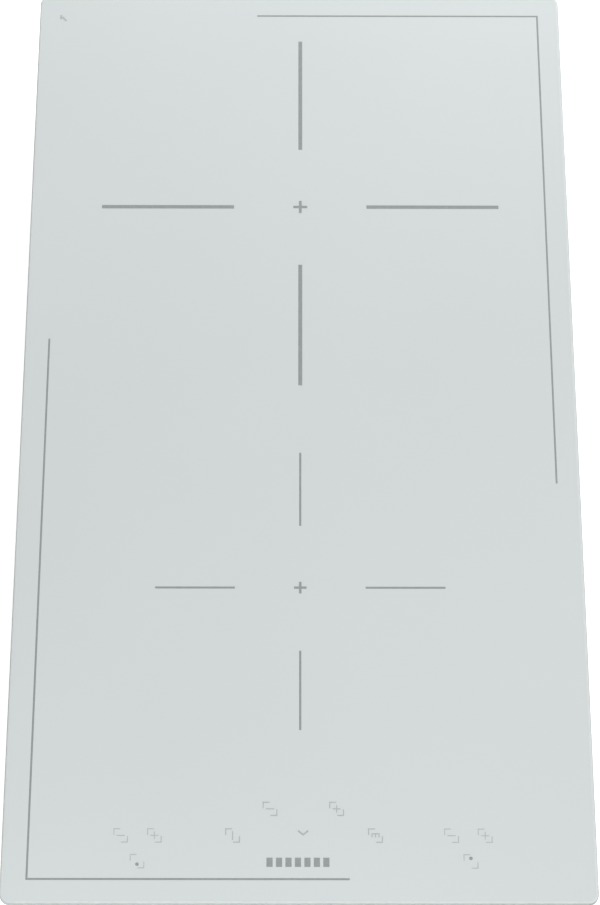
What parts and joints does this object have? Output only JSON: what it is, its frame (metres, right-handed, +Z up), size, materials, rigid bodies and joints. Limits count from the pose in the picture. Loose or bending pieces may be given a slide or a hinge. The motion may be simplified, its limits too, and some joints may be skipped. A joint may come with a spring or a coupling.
{
  "type": "built-in induction cooktop",
  "caption": "Narrow frameless built-in induction cooktop: white glass over a slotted sheet-steel tray with coils, power board, blower and a terminal box below.",
  "frame": {"origin": "centre of the footprint, on the plane of the pressed feet under the casing tray", "axes": "+Z up through the cooking surface, -Y towards the user, +X to the user's right"},
  "size_m": [0.29, 0.52, 0.056],
  "materials": {
    "white_glass": "glossy back-printed white glass",
    "silicone": "satin silicone",
    "foam": "closed-cell foam",
    "black_steel": "black powder coat",
    "galvanised": "galvanised, fine spangle",
    "spring_steel": "bright zinc",
    "aluminium": "mill finish",
    "black_plastic": "moulded, fine texture",
    "grey_plastic": "moulded",
    "copper": "enamelled copper wire",
    "ferrite": "sintered, matte",
    "mica": "layered mica",
    "circuit_board": "solder mask",
    "capacitor": "moulded case",
    "sleeve": "woven glass sleeve"
  },
  "bodies": {
    "housing": {"glass_panel": "white_glass", "worktop_gasket": "foam", "glass_adhesive": "silicone", "glass_frame": "black_steel", "casing_tray": "galvanised", "case_screw_rear_right": "spring_steel", "case_screw_rear_left": "spring_steel", "case_screw_front_right": "spring_steel", "case_screw_front_left": "spring_steel", "terminal_box": "black_plastic", "terminal_block": "grey_plastic", "cable_clamp": "grey_plastic", "cable_grommet": "silicone", "mains_lead": "sleeve", "earth_lead": "sleeve", "coil_plate": "aluminium", "rear_coil_former": "black_plastic", "rear_coil_winding": "copper", "rear_mica_disc": "mica", "rear_temperature_sensor": "sleeve", "rear_ferrite_1": "ferrite", "rear_ferrite_2": "ferrite", "rear_ferrite_3": "ferrite", "rear_ferrite_4": "ferrite", "rear_ferrite_5": "ferrite", "rear_ferrite_6": "ferrite", "front_coil_former": "black_plastic", "front_coil_winding": "copper", "front_mica_disc": "mica", "front_temperature_sensor": "sleeve", "front_ferrite_1": "ferrite", "front_ferrite_2": "ferrite", "front_ferrite_3": "ferrite", "front_ferrite_4": "ferrite", "rear_coil_lead": "sleeve", "front_coil_lead": "sleeve", "board_carrier": "black_plastic", "power_board": "circuit_board", "heat_sink": "aluminium", "power_transistor_rear": "black_plastic", "power_transistor_front": "black_plastic", "bridge_rectifier": "black_plastic", "smoothing_capacitor": "capacitor", "resonant_capacitor_rear": "capacitor", "resonant_capacitor_front": "capacitor", "filter_choke": "copper", "switching_transformer": "ferrite", "blower_scroll": "black_plastic", "blower_cover": "black_plastic", "blower_motor": "grey_plastic", "air_duct": "black_plastic", "control_carrier": "black_plastic", "control_board": "circuit_board", "control_ribbon": "sleeve"},
    "impeller": {"blower_impeller": "black_plastic"},
    "lid": {"terminal_lid": "black_plastic"},
    "clip_rear_right": {"side_clip_rear_right": "spring_steel"},
    "clip_rear_left": {"side_clip_rear_left": "spring_steel"},
    "clip_front_right": {"side_clip_front_right": "spring_steel"},
    "clip_front_left": {"side_clip_front_left": "spring_steel"}
  },
  "joints": [
    {"name": "impeller_spin", "type": "hinge", "parent": "housing", "child": "impeller", "pos_m": [0.062, 0.18, 0.018], "axis": [0, 0, 1], "continuous": true},
    {"name": "lid_hinge", "type": "hinge", "parent": "housing", "child": "lid", "pos_m": [-0.09, 0.191, 0.0036], "axis": [-1, 0, 0], "range_deg": [0, 90]},
    {"name": "clip_flex_rear_right", "type": "hinge", "parent": "housing", "child": "clip_rear_right", "pos_m": [0.1321, 0.165, 0.0203], "axis": [0, -1, 0], "range_deg": [0, 6], "stiffness_Nm_per_rad": 2},
    {"name": "clip_flex_rear_left", "type": "hinge", "parent": "housing", "child": "clip_rear_left", "pos_m": [-0.1321, 0.165, 0.0203], "axis": [0, 1, 0], "range_deg": [0, 6], "stiffness_Nm_per_rad": 2},
    {"name": "clip_flex_front_right", "type": "hinge", "parent": "housing", "child": "clip_front_right", "pos_m": [0.1321, -0.165, 0.0203], "axis": [0, -1, 0], "range_deg": [0, 6], "stiffness_Nm_per_rad": 2},
    {"name": "clip_flex_front_left", "type": "hinge", "parent": "housing", "child": "clip_front_left", "pos_m": [-0.1321, -0.165, 0.0203], "axis": [0, 1, 0], "range_deg": [0, 6], "stiffness_Nm_per_rad": 2}
  ]
}
